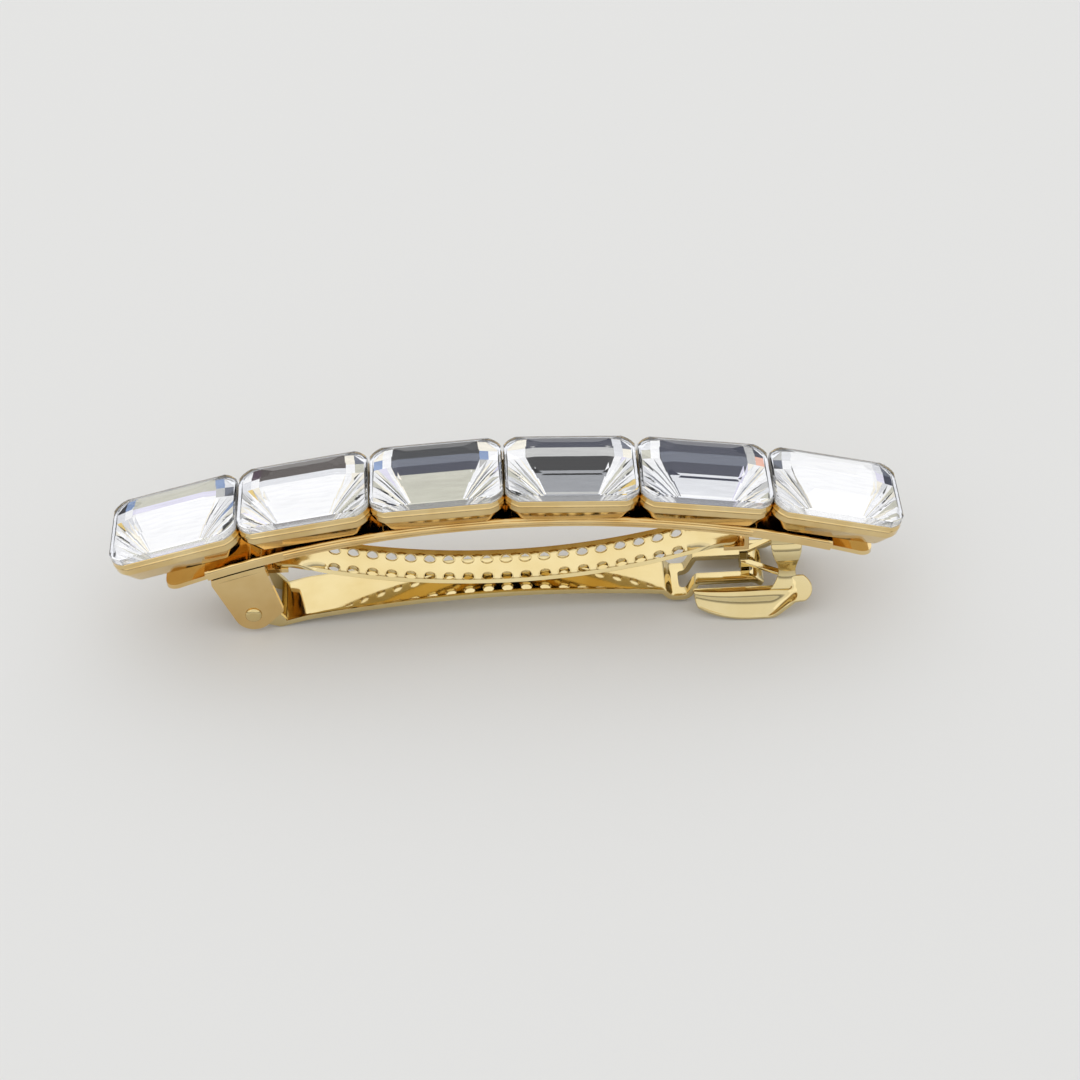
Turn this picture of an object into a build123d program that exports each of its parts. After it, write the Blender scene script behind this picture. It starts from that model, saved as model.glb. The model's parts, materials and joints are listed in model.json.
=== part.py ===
"""A closed spring barrette: six octagon stones in metal settings on an arched base plate.

Millimetres. +X runs along the clip from its hinge end to its catch end, +Z points up to the
stones, and Y runs across it. The origin is the middle of the box at the level it stands on.
"""
import os
from math import asin, cos, degrees, radians, sin, sqrt, tan

from build123d import *

# Stones
STONE_COUNT = 6
STONE_LENGTH = 14.0
STONE_WIDTH = 10.0
STONE_CORNER = 1.5
STONE_GAP = 0.2
STONE_TURN = 5.85          # degrees from one stone to the next
GIRDLE_HEIGHT = 1.0
CROWN_HEIGHT = 1.0
CROWN_END = 3.1            # table's inset at the ends
CROWN_SIDE = 2.35          # table's inset at the long sides
TABLE_CORNER = 0.9
PAVILION_DEPTH = 2.0
KEEL_LENGTH = 5.0
KEEL_WIDTH = 0.8
SEAT_LEDGE = 0.5           # flat underside of the stone that rests on the rim

# Settings
SETTING_WALL = 0.4
SETTING_FLOOR = 0.4
SETTING_DEPTH = 2.95
RIM_DEPTH = 1.3            # upright band of the wall
SETTING_TAPER = 0.75       # how far the wall leans in below the band
SETTING_GAP = 0.004        # brazed joint between neighbours

# Base plate
PLATE_RADIUS = 108.0
PLATE_THICKNESS = 0.5
PLATE_WIDTH = 8.0
FLANGE_DEPTH = 1.1
SHOULDER_RADIUS = 0.35
PLATE_LENGTH = 67.0        # flanged part, measured along the chord
PLATE_SHIFT = 1.2          # plate's middle, from the middle of the row
TONGUE_LENGTH = 4.4
TONGUE_WIDTH = 7.6
TONGUE_CORNER = 1.7
TONGUE_DROP = 0.5          # step down from the plate to each tongue
BEAD_LENGTH = 50.0
BEAD_RADIUS = 0.36
BEAD_STAND = 0.2           # how far the bead stands out of the flange

# Hinge bracket and rivet
HINGE_INSET = 4.7          # rivet, from the end of the plate's flanges
PIN_HEIGHT = 2.65
PIN_DROP = 6.97            # rivet below the plate's underside
PIN_RADIUS = 0.6
RIVET_HEAD_RADIUS = 0.95
RIVET_HEAD_HEIGHT = 0.4
BRACKET_SHEET = 0.6
WEB_THICKNESS = 0.5
BRACKET_END_PLAY = 0.1     # bracket's web to the riser of the plate's tongue
BRACKET_FRONT = 1.8        # bracket's front end, from the rivet
EAR_RADIUS = 2.1
EAR_CORNER_REACH = 2.9     # front corner of each ear, from the rivet
EAR_CORNER_RISE = 0.4
EAR_CORNER_RADIUS = 0.35

# Spring bar
BAR_RADIUS = 74.0
BAR_THICKNESS = 0.4
BAR_FLOOR_WIDTH = 3.9
BAR_WIDTH = 4.9
BAR_LIP = 0.45             # rise of the turned-up edges
BAR_TONGUE = 4.7
BAR_TONGUE_WIDTH = 2.6
HOLE_COUNT = 19
HOLE_PITCH = 2.08
HOLE_RADIUS = 0.62
HOLE_ROW = 1.46            # each row's distance from the bar's middle line
TAB_DROP = 2.95            # tab's top below the plate's underside at the rivet
TAB_THICKNESS = 0.5
TAB_WIDTH = 3.0
TAB_LENGTH = 2.7
TAB_SETBACK = 1.8          # tab's wall, from the rivet towards the middle
BAR_END_PLAY = 0.25

# Clasp arm
ARM_THICKNESS = 0.6
ARM_SIDE_PLAY = 0.15       # to the bracket's ears
ARM_CATCH_WIDTH = 5.4
ARM_BAR_GAP = 0.55         # crown of the arm below the spring bar
HEEL_REACH = 2.7           # heel and ramp, from the rivet
RAMP_REACH = 5.7
RAMP_HEIGHT = 1.4
LUG_THICKNESS = 0.5
LUG_RADIUS = 1.9
LUG_HEEL_RADIUS = 0.5
PIN_PLAY = 0.06
ARC_END = 12.9             # arm's places along X, back from the middle of the catch's legs
STEP_END = 12.1
WINDOW_START = 11.3
DIP_END = 10.6
RISE_END = 9.6
WINDOW_END = 3.3
RAIL_END = 3.2
ARM_END = 2.2
ARC_END_HEIGHT = 2.1       # arm's upper face above the ground
DIP_HEIGHT = 1.15
RAIL_HEIGHT = 3.1
ARM_END_HEIGHT = 2.5
WINDOW_WIDTH = 2.7
WINDOW_CORNER = 0.4

# Catch
CATCH_INSET = 4.9          # middle of the catch's legs, from the end of the plate's flanges
CATCH_WEB_FRONT = 4.3      # web's ends, from the middle of the legs
CATCH_WEB_BACK = 1.8
LEG_SHEET = 0.45
LEG_TOP_WIDTH = 3.4
LEG_NECK_WIDTH = 1.9
LEG_NECK_SHIFT = 0.15      # neck, from the middle of the leg's top
LEG_PLAY = 0.12            # running gap between the web and each sprung leg
LEG_SIDE_PLAY = 0.1        # leg to flange
LEG_BULGE = 0.6
LEG_BULGE_DROP = 0.7
NECK_HEIGHT = 4.4
NECK_SPREAD = 3.5          # leg's outer face at the neck, from the middle plane
SHELF_HEIGHT = 2.75
SHELF_GAP = 0.7            # shelf's inner edge to the arm's rail
CREASE_SPREAD = 4.5
SKIRT_SPREAD = 5.1
SKIRT_HEIGHT = 1.1
EAR_SPREAD = 6.1           # rim of each ear, from the middle plane
EAR_FRONT = 10.0           # ear's ends, from the middle of the leg
EAR_BACK = 2.8
EAR_END_HEIGHT = 1.4
EAR_END_RADIUS = 1.3       # plan corners at the free end of the clip
EAR_TIP_RADIUS = 0.4
PRONG_THICKNESS = 0.35
PRONG_WIDTH = 1.0
PRONG_GAP = 0.3            # prong to the edges of the arm's window
PRONG_LIFT = 0.7           # prong's bridge above the rails
NIB_GAP = 0.3              # nib under the window's rail
NIB_BITE = 0.5
NIB_HEIGHT = 0.5

# Row of stones: each girdle underside is a flat of one polygon
ROW_PITCH = STONE_LENGTH + STONE_GAP
ROW_RADIUS = ROW_PITCH / 2 / tan(radians(STONE_TURN / 2))
# The settings' floors that lie nearest the middle touch the plate
FLOOR_RADIUS = ROW_RADIUS - SETTING_DEPTH
MIDDLE_TURN = STONE_TURN / 2 if STONE_COUNT % 2 == 0 else 0.0

PLATE_ENDS = (PLATE_SHIFT - PLATE_LENGTH / 2, PLATE_SHIFT + PLATE_LENGTH / 2)
HINGE_X = PLATE_ENDS[0] + HINGE_INSET
CATCH_X = PLATE_ENDS[1] - CATCH_INSET
PLATE_INSIDE = PLATE_RADIUS - PLATE_THICKNESS
FLANGE_RADIUS = PLATE_RADIUS - FLANGE_DEPTH
PLATE_CENTRE = PIN_HEIGHT + PIN_DROP - sqrt(PLATE_INSIDE**2 - (HINGE_X - PLATE_SHIFT) ** 2)
ROW_RISE = PLATE_RADIUS - FLOOR_RADIUS + abs(PLATE_SHIFT) * sin(radians(MIDDLE_TURN))
ROW_CENTRE = PLATE_CENTRE + ROW_RISE / cos(radians(MIDDLE_TURN))
CHANNEL_INSIDE = PLATE_WIDTH / 2 - PLATE_THICKNESS
EAR_PLAY = 0.1             # bracket's ears below the flanges
EAR_INSIDE = CHANNEL_INSIDE
EAR_OUTSIDE = EAR_INSIDE + BRACKET_SHEET


def plateHeight(x, radius):
    """Height of the plate's concentric arc of this radius above x."""
    return PLATE_CENTRE + sqrt(radius**2 - (x - PLATE_SHIFT) ** 2)


def archBand(x0, x1, outer, inner):
    """Sketch face between two of the plate's arcs, from x0 to x1."""
    middle = (x0 + x1) / 2
    with BuildSketch(Plane.XZ) as band:
        with BuildLine():
            top = [(x, plateHeight(x, outer)) for x in (x0, middle, x1)]
            under = [(x, plateHeight(x, inner)) for x in (x1, middle, x0)]
            ThreePointArc(*top)
            Line(top[-1], under[0])
            ThreePointArc(*under)
            Line(under[-1], top[0])
        make_face()
    return band.sketch


def octagon(plane, length, width, corner):
    """Rectangle with its corners cut at 45 degrees, as a face on this plane."""
    with BuildSketch(plane) as outline:
        Rectangle(length, width)
        chamfer(outline.vertices(), corner)
    return outline.sketch.face()


def stoneOutline(plane, end, side, corner):
    """The stone's outline, moved in at its ends and its long sides."""
    return octagon(plane, STONE_LENGTH - 2 * end, STONE_WIDTH - 2 * side, corner)


def stonePlane(index):
    """Plane of a stone's girdle underside, x along the row and z out of the arch."""
    turn = radians((index - (STONE_COUNT - 1) / 2) * STONE_TURN)
    origin = (ROW_RADIUS * sin(turn), 0, ROW_CENTRE + ROW_RADIUS * cos(turn))
    return Plane(origin, x_dir=(cos(turn), 0, -sin(turn)), z_dir=(sin(turn), 0, cos(turn)))


def write(builder, name):
    builder.part.label = name
    export_step(builder.part, f"parts/{name}.step")


os.makedirs("parts", exist_ok=True)

# Stones and settings, one of each per place in the row
JOINT_LENGTH = 2 * (ROW_RADIUS - RIM_DEPTH) * tan(radians(STONE_TURN / 2)) - SETTING_GAP
JOINT_WIDTH = STONE_WIDTH + JOINT_LENGTH - STONE_LENGTH
FLOOR_INSET = SETTING_TAPER + SETTING_WALL
for index in range(STONE_COUNT):
    seat = stonePlane(index)
    girdle = seat.offset(GIRDLE_HEIGHT)
    table = seat.offset(GIRDLE_HEIGHT + CROWN_HEIGHT)
    keel = seat.offset(-PAVILION_DEPTH)
    with BuildPart() as stone:
        extrude(stoneOutline(seat, 0, 0, STONE_CORNER), amount=GIRDLE_HEIGHT)
        crown = stoneOutline(table, CROWN_END, CROWN_SIDE, TABLE_CORNER)
        loft([stoneOutline(girdle, 0, 0, STONE_CORNER), crown], ruled=True)
        ledge = stoneOutline(seat, SEAT_LEDGE, SEAT_LEDGE, STONE_CORNER)
        loft([ledge, octagon(keel, KEEL_LENGTH, KEEL_WIDTH, KEEL_WIDTH / 4)], ruled=True)
    write(stone, f"stone_{index + 1}")

    band = seat.offset(-RIM_DEPTH)
    well = seat.offset(SETTING_FLOOR - SETTING_DEPTH)
    with BuildPart() as setting:
        extrude(octagon(seat, JOINT_LENGTH, JOINT_WIDTH, STONE_CORNER), amount=-RIM_DEPTH)
        upper = octagon(band, JOINT_LENGTH, JOINT_WIDTH, STONE_CORNER)
        under = seat.offset(-SETTING_DEPTH)
        loft([upper, stoneOutline(under, SETTING_TAPER, SETTING_TAPER, STONE_CORNER)], ruled=True)
        mouth = stoneOutline(seat, SETTING_WALL, SETTING_WALL, STONE_CORNER)
        extrude(mouth, amount=-RIM_DEPTH, mode=Mode.SUBTRACT)
        mouth = stoneOutline(band, SETTING_WALL, SETTING_WALL, STONE_CORNER)
        floor = stoneOutline(well, FLOOR_INSET, FLOOR_INSET, STONE_CORNER)
        loft([mouth, floor], ruled=True, mode=Mode.SUBTRACT)
    write(setting, f"setting_{index + 1}")

# Base plate: arched channel with a stepped tongue at each end and a bead along each flange
plateAxis = Axis((PLATE_SHIFT, 0, PLATE_CENTRE), (0, 1, 0))


def plateSection(angle):
    """Section plane of the plate: x across the clip, y out from the arc's centre."""
    turn = radians(angle)
    origin = (PLATE_SHIFT, 0, PLATE_CENTRE)
    return Plane(origin, x_dir=(0, 1, 0), z_dir=(cos(turn), 0, -sin(turn)))


channelTurn = degrees(asin(PLATE_LENGTH / 2 / PLATE_RADIUS))
tongueTips = (PLATE_ENDS[0] - TONGUE_LENGTH, PLATE_ENDS[1] + TONGUE_LENGTH)
beadTurn = degrees(asin(BEAD_LENGTH / 2 / PLATE_RADIUS))
with BuildPart() as basePlate:
    for tip, end, inward in zip(tongueTips, PLATE_ENDS, (1, -1)):
        step = end + inward * PLATE_THICKNESS
        tongueTop = PLATE_RADIUS - TONGUE_DROP
        tongue = archBand(*sorted((tip, step)), tongueTop, tongueTop - PLATE_THICKNESS)
        extrude(tongue, amount=TONGUE_WIDTH / 2, both=True)
        riser = archBand(*sorted((end, step)), PLATE_RADIUS, tongueTop - PLATE_THICKNESS)
        extrude(riser, amount=TONGUE_WIDTH / 2, both=True)
    with BuildSketch():
        with Locations((PLATE_SHIFT, 0)):
            RectangleRounded(tongueTips[1] - tongueTips[0], TONGUE_WIDTH, TONGUE_CORNER)
    extrude(amount=PLATE_CENTRE + PLATE_RADIUS, mode=Mode.INTERSECT)
    with BuildSketch(plateSection(-channelTurn)):
        with Locations((0, (PLATE_RADIUS + FLANGE_RADIUS) / 2)):
            Rectangle(PLATE_WIDTH, FLANGE_DEPTH)
        fillet(vertices().group_by(Axis.Y)[-1], SHOULDER_RADIUS)
        with Locations((0, (PLATE_INSIDE + FLANGE_RADIUS) / 2)):
            Rectangle(2 * CHANNEL_INSIDE, PLATE_INSIDE - FLANGE_RADIUS, mode=Mode.SUBTRACT)
    revolve(axis=plateAxis, revolution_arc=2 * channelTurn)
    for side in (-1, 1):
        beadCentre = side * (PLATE_WIDTH / 2 + BEAD_STAND - BEAD_RADIUS)
        with BuildSketch(plateSection(-beadTurn)):
            with Locations((beadCentre, PLATE_RADIUS - FLANGE_DEPTH / 2)):
                Circle(BEAD_RADIUS)
        revolve(axis=plateAxis, revolution_arc=2 * beadTurn)
write(basePlate, "base_plate")

# Where the fittings stand under the plate
WEB_UNDER = PLATE_INSIDE - WEB_THICKNESS
EAR_TOP = FLANGE_RADIUS - EAR_PLAY
WALL_BOTTOM = EAR_TOP - BRACKET_SHEET
WALL_INSIDE = CHANNEL_INSIDE - BRACKET_SHEET
TAB_TOP = plateHeight(HINGE_X, PLATE_INSIDE) - TAB_DROP
hingeTabX = HINGE_X + TAB_SETBACK
catchTabX = CATCH_X - CATCH_WEB_FRONT
pinPoint = (HINGE_X, PIN_HEIGHT)


def bothSides(face, inside, outside):
    """Extrude a face that lies on the middle plane into a wall on each side of it."""
    for side in (-1, 1):
        moved = Pos(0, side * (inside + outside) / 2, 0) * face
        extrude(moved, amount=(outside - inside) / 2, both=True)


def tabFace(wallX, towards):
    """Side view of a tab hung from a web: a wall, and a shelf under the spring bar's end."""
    back = wallX - towards * TAB_THICKNESS
    tip = wallX + towards * (TAB_LENGTH - TAB_THICKNESS)
    roof = plateHeight(wallX, WEB_UNDER) + WEB_THICKNESS / 2
    under = TAB_TOP - TAB_THICKNESS
    corners = [(wallX, roof), (wallX, TAB_TOP), (tip, TAB_TOP), (tip, under), (back, under)]
    with BuildSketch(Plane.XZ) as tab:
        with BuildLine():
            Polyline(*corners, (back, roof), close=True)
        make_face()
    return tab.sketch


# Hinge bracket: a web in the channel, joggled ears below the flanges and a tab for the bar
bracketBack = PLATE_ENDS[0] + PLATE_THICKNESS + BRACKET_END_PLAY
bracketEnds = (bracketBack, HINGE_X + BRACKET_FRONT)
with BuildSketch(Plane.XZ) as ear:
    with Locations(pinPoint):
        Circle(EAR_RADIUS)
    with Locations((HINGE_X + EAR_CORNER_REACH, PIN_HEIGHT + EAR_CORNER_RISE)):
        Circle(EAR_CORNER_RADIUS)
    for x in bracketEnds:
        with Locations((x, plateHeight(x, WALL_BOTTOM))):
            Rectangle(0.02, 0.02)
    make_hull()
    with Locations(pinPoint):
        Circle(PIN_RADIUS, mode=Mode.SUBTRACT)
with BuildPart() as hingeBracket:
    web = archBand(*bracketEnds, PLATE_INSIDE, WEB_UNDER)
    extrude(web, amount=CHANNEL_INSIDE, both=True)
    bothSides(archBand(*bracketEnds, PLATE_INSIDE, WALL_BOTTOM), WALL_INSIDE, CHANNEL_INSIDE)
    bothSides(archBand(*bracketEnds, EAR_TOP, WALL_BOTTOM), WALL_INSIDE, EAR_OUTSIDE)
    bothSides(ear.sketch, EAR_INSIDE, EAR_OUTSIDE)
    extrude(tabFace(hingeTabX, 1), amount=TAB_WIDTH / 2, both=True)
write(hingeBracket, "hinge_bracket")

with BuildPart() as hingePin:
    with BuildSketch(Plane.XZ):
        with Locations(pinPoint):
            Circle(PIN_RADIUS)
    extrude(amount=EAR_OUTSIDE, both=True)
    for side in (-1, 1):
        headPlane = Plane((HINGE_X, side * EAR_OUTSIDE, PIN_HEIGHT), z_dir=(0, side, 0))
        with BuildSketch(headPlane):
            Circle(RIVET_HEAD_RADIUS)
        extrude(amount=RIVET_HEAD_HEIGHT)
    rims = edges().filter_by(GeomType.CIRCLE).group_by(Axis.Y)
    fillet(rims[0] + rims[-1], RIVET_HEAD_HEIGHT * 0.8)
write(hingePin, "hinge_pin")

# Spring bar: a trough bowed away from the plate, with pierced rows and a tongue at each end
barTips = (hingeTabX + BAR_END_PLAY, catchTabX - BAR_END_PLAY)
barMiddle = (barTips[0] + barTips[1]) / 2
barReach = (barTips[1] - barTips[0]) / 2 - BAR_TONGUE
barTurn = asin(barReach / BAR_RADIUS)
barCentre = TAB_TOP + BAR_RADIUS * cos(barTurn)
barAxis = Axis((barMiddle, 0, barCentre), (0, -1, 0))


def barPlane(turn):
    """Section plane of the bar: x across the clip, y towards the arc's centre above."""
    normal = (cos(turn), 0, sin(turn))
    return Plane((barMiddle, 0, barCentre), x_dir=(0, 1, 0), z_dir=normal)


with BuildPart() as tensionBar:
    with BuildSketch(barPlane(-barTurn)):
        floor, lip = BAR_FLOOR_WIDTH / 2, BAR_WIDTH / 2
        half = [(floor, -BAR_RADIUS), (lip, BAR_LIP - BAR_RADIUS)]
        inner = [(x, y + BAR_THICKNESS) for x, y in reversed(half)]
        outline = half + inner
        with BuildLine():
            Polyline(*outline, *[(-x, y) for x, y in reversed(outline)], close=True)
        make_face()
    revolve(axis=barAxis, revolution_arc=degrees(2 * barTurn))
    with BuildSketch(Plane.XY.offset(TAB_TOP)):
        for side, tip in zip((-1, 1), barTips):
            root = barMiddle + side * barReach
            rootHalf = [(root - side * BAR_THICKNESS, floor), (root, floor)]
            shoulder = (root + side * (floor - BAR_TONGUE_WIDTH / 2), BAR_TONGUE_WIDTH / 2)
            half = rootHalf + [shoulder, (tip, BAR_TONGUE_WIDTH / 2)]
            with BuildLine():
                Polyline(*half, *[(x, -y) for x, y in reversed(half)], close=True)
            make_face()
        tipVertices = vertices().group_by(Axis.X)
        fillet(tipVertices[0] + tipVertices[-1], BAR_TONGUE_WIDTH * 0.45)
    extrude(amount=BAR_THICKNESS)
    for hole in range(HOLE_COUNT):
        turn = (hole - (HOLE_COUNT - 1) / 2) * HOLE_PITCH / BAR_RADIUS
        wall = (barMiddle + BAR_RADIUS * sin(turn), 0, barCentre - BAR_RADIUS * cos(turn))
        across = Plane(wall, x_dir=(0, 1, 0), z_dir=(-sin(turn), 0, cos(turn)))
        with Locations(across):
            with Locations((-HOLE_ROW, 0), (HOLE_ROW, 0)):
                Cylinder(HOLE_RADIUS, 4 * BAR_THICKNESS, mode=Mode.SUBTRACT)
write(tensionBar, "tension_bar")

# Clasp arm: one strip from the heel to the end, with a window between two raised rails
heelX = HINGE_X + HEEL_REACH
rampX = HINGE_X + RAMP_REACH
armHalf = EAR_INSIDE - ARM_SIDE_PLAY
railHalf = ARM_CATCH_WIDTH / 2
crown = ((rampX + CATCH_X - ARC_END) / 2, barCentre - BAR_RADIUS - ARM_BAR_GAP)
arcEnd = (CATCH_X - ARC_END, ARC_END_HEIGHT)
armEnd = [(CATCH_X - STEP_END, DIP_HEIGHT), (CATCH_X - DIP_END, DIP_HEIGHT),
          (CATCH_X - RISE_END, RAIL_HEIGHT), (CATCH_X - RAIL_END, RAIL_HEIGHT),
          (CATCH_X - ARM_END, ARM_END_HEIGHT)]
with BuildSketch(Plane.XZ) as armSide:
    with BuildLine():
        Line((heelX, ARM_THICKNESS), (rampX, RAMP_HEIGHT))
        ThreePointArc((rampX, RAMP_HEIGHT), crown, arcEnd)
        Polyline(arcEnd, *armEnd)
        offset(amount=ARM_THICKNESS, kind=Kind.INTERSECTION, side=Side.RIGHT)
    make_face()
with BuildSketch() as armPlan:
    half = [(HINGE_X, armHalf), (CATCH_X - RISE_END, railHalf), (CATCH_X, railHalf)]
    with BuildLine():
        Polyline(*half, *[(x, -y) for x, y in reversed(half)], close=True)
    make_face()
    windowMiddle = CATCH_X - (WINDOW_START + WINDOW_END) / 2
    with Locations((windowMiddle, 0)):
        RectangleRounded(WINDOW_START - WINDOW_END, WINDOW_WIDTH, WINDOW_CORNER,
                         mode=Mode.SUBTRACT)
with BuildSketch(Plane.XZ) as lug:
    with Locations(pinPoint):
        Circle(LUG_RADIUS)
    with Locations((heelX, LUG_HEEL_RADIUS)):
        Circle(LUG_HEEL_RADIUS)
    make_hull()
    with Locations(pinPoint):
        Circle(PIN_RADIUS + PIN_PLAY, mode=Mode.SUBTRACT)
with BuildPart() as claspArm:
    extrude(armSide.sketch, amount=armHalf, both=True)
    extrude(armPlan.sketch, amount=PLATE_CENTRE + PLATE_RADIUS, both=True, mode=Mode.INTERSECT)
    bothSides(lug.sketch, armHalf - LUG_THICKNESS, armHalf)
write(claspArm, "clasp_arm")

# Catch: a web in the channel, and two sprung legs whose ears run back along the arm
catchEnds = (CATCH_X - CATCH_WEB_FRONT, CATCH_X + CATCH_WEB_BACK)
with BuildPart() as catchWeb:
    web = archBand(*catchEnds, PLATE_INSIDE, WEB_UNDER)
    extrude(web, amount=CHANNEL_INSIDE, both=True)
    extrude(tabFace(catchTabX, -1), amount=TAB_WIDTH / 2, both=True)
write(catchWeb, "catch_web")

legTop = WEB_UNDER - LEG_PLAY
legEnds = (CATCH_X - LEG_TOP_WIDTH / 2, CATCH_X + LEG_TOP_WIDTH / 2)
legRoot = CHANNEL_INSIDE - LEG_SIDE_PLAY
bulgeTop = plateHeight(legEnds[1], FLANGE_RADIUS) - LEG_PLAY
shelfInside = railHalf + SHELF_GAP
with BuildSketch(Plane.YZ) as legSection:
    with BuildLine():
        Polyline((-legRoot, plateHeight(legEnds[0], legTop)), (-legRoot, bulgeTop),
                 (-legRoot - LEG_BULGE, bulgeTop - LEG_BULGE_DROP),
                 (-legRoot - LEG_BULGE, bulgeTop - 2 * LEG_BULGE_DROP - LEG_BULGE),
                 (-NECK_SPREAD, NECK_HEIGHT), (-CREASE_SPREAD, SHELF_HEIGHT))
        offset(amount=LEG_SHEET, side=Side.LEFT)
    make_face()
with BuildSketch(Plane.XZ) as legSide:
    neckX = CATCH_X + LEG_NECK_SHIFT
    neckEnds = (neckX - LEG_NECK_WIDTH / 2, neckX + LEG_NECK_WIDTH / 2)
    with BuildLine():
        top = [(x, plateHeight(x, legTop)) for x in (legEnds[0], CATCH_X, legEnds[1])]
        ThreePointArc(*top)
        Polyline(top[-1], (legEnds[1], bulgeTop), (neckEnds[1], NECK_HEIGHT),
                 (neckX + LEG_NECK_WIDTH, SHELF_HEIGHT - LEG_SHEET),
                 (neckX - LEG_NECK_WIDTH, SHELF_HEIGHT - LEG_SHEET),
                 (neckEnds[0], NECK_HEIGHT), (legEnds[0], bulgeTop), top[0])
    make_face()
with BuildSketch(Plane.YZ) as earSection:
    with BuildLine():
        Polyline((-shelfInside, SHELF_HEIGHT), (-CREASE_SPREAD, SHELF_HEIGHT),
                 (-SKIRT_SPREAD, SKIRT_HEIGHT), (-EAR_SPREAD, LEG_SHEET * 0.7))
        offset(amount=LEG_SHEET, side=Side.LEFT)
    make_face()
earEnds = (CATCH_X - EAR_FRONT, CATCH_X + EAR_BACK)
with BuildSketch(Plane.XZ) as earSide:
    earMiddle = (earEnds[0] + earEnds[1]) / 2
    with BuildLine():
        rim = [(earEnds[0], EAR_END_HEIGHT), (earMiddle, 0), (earEnds[1], EAR_END_HEIGHT)]
        ThreePointArc(*rim)
        Polyline(rim[-1], (earEnds[1], NECK_HEIGHT), (earEnds[0], NECK_HEIGHT), rim[0])
    make_face()
railUnder = RAIL_HEIGHT - ARM_THICKNESS
bridgeHeight = RAIL_HEIGHT + PRONG_LIFT
prongOutside = WINDOW_WIDTH / 2 - PRONG_GAP
prongInside = prongOutside - PRONG_THICKNESS
prongX = CATCH_X - WINDOW_END - PRONG_GAP - PRONG_WIDTH
with BuildSketch() as earPlan:
    with Locations((earMiddle, -(shelfInside + EAR_SPREAD) / 2)):
        Rectangle(EAR_FRONT + EAR_BACK, EAR_SPREAD - shelfInside)
    fillet(vertices().group_by(Axis.X)[-1], EAR_END_RADIUS)
    fillet(vertices().group_by(Axis.X)[0], EAR_TIP_RADIUS)
with BuildPart() as skirt:
    extrude(earSection.sketch, amount=earEnds[1])
    extrude(earSide.sketch, amount=EAR_SPREAD, both=True, mode=Mode.INTERSECT)
    extrude(earPlan.sketch, amount=NECK_HEIGHT, mode=Mode.INTERSECT)
with BuildPart() as catchEarFront:
    extrude(legSection.sketch, amount=earEnds[1])
    extrude(legSide.sketch, amount=EAR_SPREAD, both=True, mode=Mode.INTERSECT)
    add(skirt.part)
    with BuildSketch(Plane.XY.offset(bridgeHeight)):
        with BuildLine():
            Polyline((neckX, -NECK_SPREAD), (neckX, LEG_SHEET - NECK_SPREAD),
                     (prongX + PRONG_WIDTH, -prongInside), (prongX, -prongInside),
                     (prongX, -prongOutside), (neckEnds[0], -NECK_SPREAD), close=True)
        make_face()
    extrude(amount=PRONG_THICKNESS)
    nibTop = railUnder - NIB_GAP
    with BuildSketch(Plane.YZ.offset(prongX)):
        with BuildLine():
            Polyline((-prongInside, bridgeHeight + PRONG_THICKNESS),
                     (-prongInside, nibTop - NIB_HEIGHT),
                     (-WINDOW_WIDTH / 2 - NIB_BITE, nibTop - NIB_HEIGHT),
                     (-WINDOW_WIDTH / 2 - NIB_BITE, nibTop), (-prongOutside, nibTop),
                     (-prongOutside, bridgeHeight + PRONG_THICKNESS), close=True)
        make_face()
    extrude(amount=PRONG_WIDTH)
write(catchEarFront, "catch_ear_front")

with BuildPart() as catchEarBack:
    mirror(catchEarFront.part, about=Plane.XZ)
write(catchEarBack, "catch_ear_back")
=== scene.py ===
# Looks of a spring barrette: foiled octagon crystals in gold-plated settings on a snap clasp.
import json
import math

import bmesh
import bpy
import numpy as np
from mathutils import Matrix, Vector


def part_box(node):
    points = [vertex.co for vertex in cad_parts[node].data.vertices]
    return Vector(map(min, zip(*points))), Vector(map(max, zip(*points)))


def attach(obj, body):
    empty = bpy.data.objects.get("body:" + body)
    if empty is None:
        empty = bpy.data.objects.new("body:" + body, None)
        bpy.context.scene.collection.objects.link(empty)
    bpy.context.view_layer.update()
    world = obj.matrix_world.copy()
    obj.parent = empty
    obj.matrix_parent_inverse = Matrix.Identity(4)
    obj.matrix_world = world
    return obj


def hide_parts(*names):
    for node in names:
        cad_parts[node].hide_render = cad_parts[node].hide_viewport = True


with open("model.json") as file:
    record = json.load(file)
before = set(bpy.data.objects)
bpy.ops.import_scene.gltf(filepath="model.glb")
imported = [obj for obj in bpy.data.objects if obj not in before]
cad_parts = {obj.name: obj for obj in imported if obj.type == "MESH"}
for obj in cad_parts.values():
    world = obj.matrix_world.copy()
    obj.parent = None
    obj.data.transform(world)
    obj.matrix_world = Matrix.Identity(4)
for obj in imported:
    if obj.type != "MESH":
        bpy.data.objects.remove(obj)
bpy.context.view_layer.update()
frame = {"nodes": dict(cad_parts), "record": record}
scene = bpy.context.scene
bodyOf = {name: body for body, names in frame["record"]["behaviour"]["bodies"].items() for name in names}
mm = 0.001
weldReach = 1e-4  # mm, points closer than this are one point


# small helpers
def link(obj):
    scene.collection.objects.link(obj)
    return obj


def meshFrom(bm, name, materials=()):
    mesh = bpy.data.meshes.new(name)
    bm.to_mesh(mesh)
    bm.free()
    for material in materials:
        mesh.materials.append(material)
    return link(bpy.data.objects.new(name, mesh))


def place(obj, node):
    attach(obj, bodyOf[node])
    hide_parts(node)


def bakeModifiers(obj):
    # the evaluated shape becomes the object's own mesh
    depsgraph = bpy.context.evaluated_depsgraph_get()
    mesh = bpy.data.meshes.new_from_object(obj.evaluated_get(depsgraph), depsgraph=depsgraph)
    old = obj.data
    obj.modifiers.clear()
    obj.data = mesh
    bpy.data.meshes.remove(old)


def bandBetween(bm, a, b):
    # quads from one ring of points to the next
    return [bm.faces.new(quad) for quad in zip(a, a[1:] + a[:1], b[1:] + b[:1], b)]


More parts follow.
